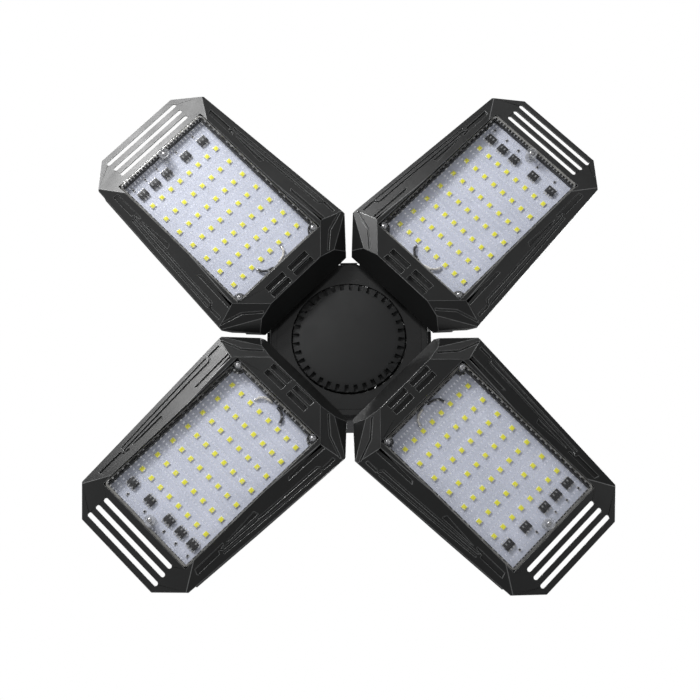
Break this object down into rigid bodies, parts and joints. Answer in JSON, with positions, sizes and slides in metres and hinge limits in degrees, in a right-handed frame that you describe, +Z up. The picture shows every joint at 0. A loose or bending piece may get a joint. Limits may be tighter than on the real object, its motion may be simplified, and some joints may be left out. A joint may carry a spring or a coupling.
{
  "type": "deformable garage light",
  "caption": "Foldable four-wing ceiling light: a screw-base hub with hinged light panels that tilt down for spread light or fold up round the base for packing.",
  "frame": {"origin": "centre of the shoulder plane of the screw base, where the threaded shell leaves the collar", "axes": "+Z up along the screw base into the socket, +X to the right and +Y to the rear; the four wings stand at 45 degrees to X and Y"},
  "size_m": [0.2414, 0.2421, 0.0983],
  "materials": {
    "frame_plastic": "black moulded plastic with a fine satin texture",
    "heat_sink": "black anodised die-cast aluminium, fine matte texture",
    "lens_clear": "clear dimpled plastic cover",
    "light_board": "white coated aluminium circuit board",
    "light_chips": "yellow phosphor gel",
    "regulators": "black moulded chip package with tinned leads",
    "steel_screws": "zinc plated steel",
    "steel_pins": "ground steel",
    "seal_rubber": "soft black silicone",
    "wire_sheath": "plastic insulated wire",
    "friction_pads": "plain low-wear plastic washer",
    "cap_plastic": "matte black moulded plastic",
    "hub_plastic": "black moulded plastic with a fine satin texture",
    "collar_plastic": "black heat resistant plastic",
    "base_metal": "nickel plated brass, rolled thread",
    "base_insulation": "black glazed insulator",
    "contact_metal": "tinned brass contact",
    "driver_laminate": "green epoxy laminate",
    "driver_parts": "capacitors, transformer and rectifier in dark cases"
  },
  "bodies": {
    "hub": {"centre_cap": "cap_plastic", "lower_housing": "hub_plastic", "hub_seal": "seal_rubber", "upper_housing": "hub_plastic", "base_collar": "collar_plastic", "screw_shell": "base_metal", "base_insulator": "base_insulation", "centre_contact": "contact_metal", "driver_board": "driver_laminate", "driver_components": "driver_parts", "base_lead_wires": "wire_sheath", "hub_screws": "steel_screws", "front_left_hinge_pin": "steel_pins", "front_left_friction_washers": "friction_pads", "front_right_hinge_pin": "steel_pins", "front_right_friction_washers": "friction_pads", "rear_left_hinge_pin": "steel_pins", "rear_left_friction_washers": "friction_pads", "rear_right_hinge_pin": "steel_pins", "rear_right_friction_washers": "friction_pads"},
    "front_left_wing": {"front_left_frame": "frame_plastic", "front_left_rear_housing": "heat_sink", "front_left_lens": "lens_clear", "front_left_board": "light_board", "front_left_leds": "light_chips", "front_left_driver_ics": "regulators", "front_left_lens_screws": "steel_screws", "front_left_seal": "seal_rubber", "front_left_lead_wires": "wire_sheath", "front_left_housing_screws": "steel_screws"},
    "front_right_wing": {"front_right_frame": "frame_plastic", "front_right_rear_housing": "heat_sink", "front_right_lens": "lens_clear", "front_right_board": "light_board", "front_right_leds": "light_chips", "front_right_driver_ics": "regulators", "front_right_lens_screws": "steel_screws", "front_right_seal": "seal_rubber", "front_right_lead_wires": "wire_sheath", "front_right_housing_screws": "steel_screws"},
    "rear_left_wing": {"rear_left_frame": "frame_plastic", "rear_left_rear_housing": "heat_sink", "rear_left_lens": "lens_clear", "rear_left_board": "light_board", "rear_left_leds": "light_chips", "rear_left_driver_ics": "regulators", "rear_left_lens_screws": "steel_screws", "rear_left_seal": "seal_rubber", "rear_left_lead_wires": "wire_sheath", "rear_left_housing_screws": "steel_screws"},
    "rear_right_wing": {"rear_right_frame": "frame_plastic", "rear_right_rear_housing": "heat_sink", "rear_right_lens": "lens_clear", "rear_right_board": "light_board", "rear_right_leds": "light_chips", "rear_right_driver_ics": "regulators", "rear_right_lens_screws": "steel_screws", "rear_right_seal": "seal_rubber", "rear_right_lead_wires": "wire_sheath", "rear_right_housing_screws": "steel_screws"}
  },
  "joints": [
    {"name": "front_left_hinge", "type": "hinge", "parent": "hub", "child": "front_left_wing", "pos_m": [-0.02015, -0.02015, -0.0475], "axis": [-0.7071, 0.7071, 0], "range_deg": [-4.28, 92.72]},
    {"name": "front_right_hinge", "type": "hinge", "parent": "hub", "child": "front_right_wing", "pos_m": [0.02015, -0.02015, -0.0475], "axis": [-0.7071, -0.7071, 0], "range_deg": [-7.76, 89.24]},
    {"name": "rear_left_hinge", "type": "hinge", "parent": "hub", "child": "rear_left_wing", "pos_m": [-0.02015, 0.02015, -0.0475], "axis": [0.7071, 0.7071, 0], "range_deg": [-3.75, 93.25]},
    {"name": "rear_right_hinge", "type": "hinge", "parent": "hub", "child": "rear_right_wing", "pos_m": [0.02015, 0.02015, -0.0475], "axis": [0.7071, -0.7071, 0], "range_deg": [-9.95, 87.05]}
  ]
}
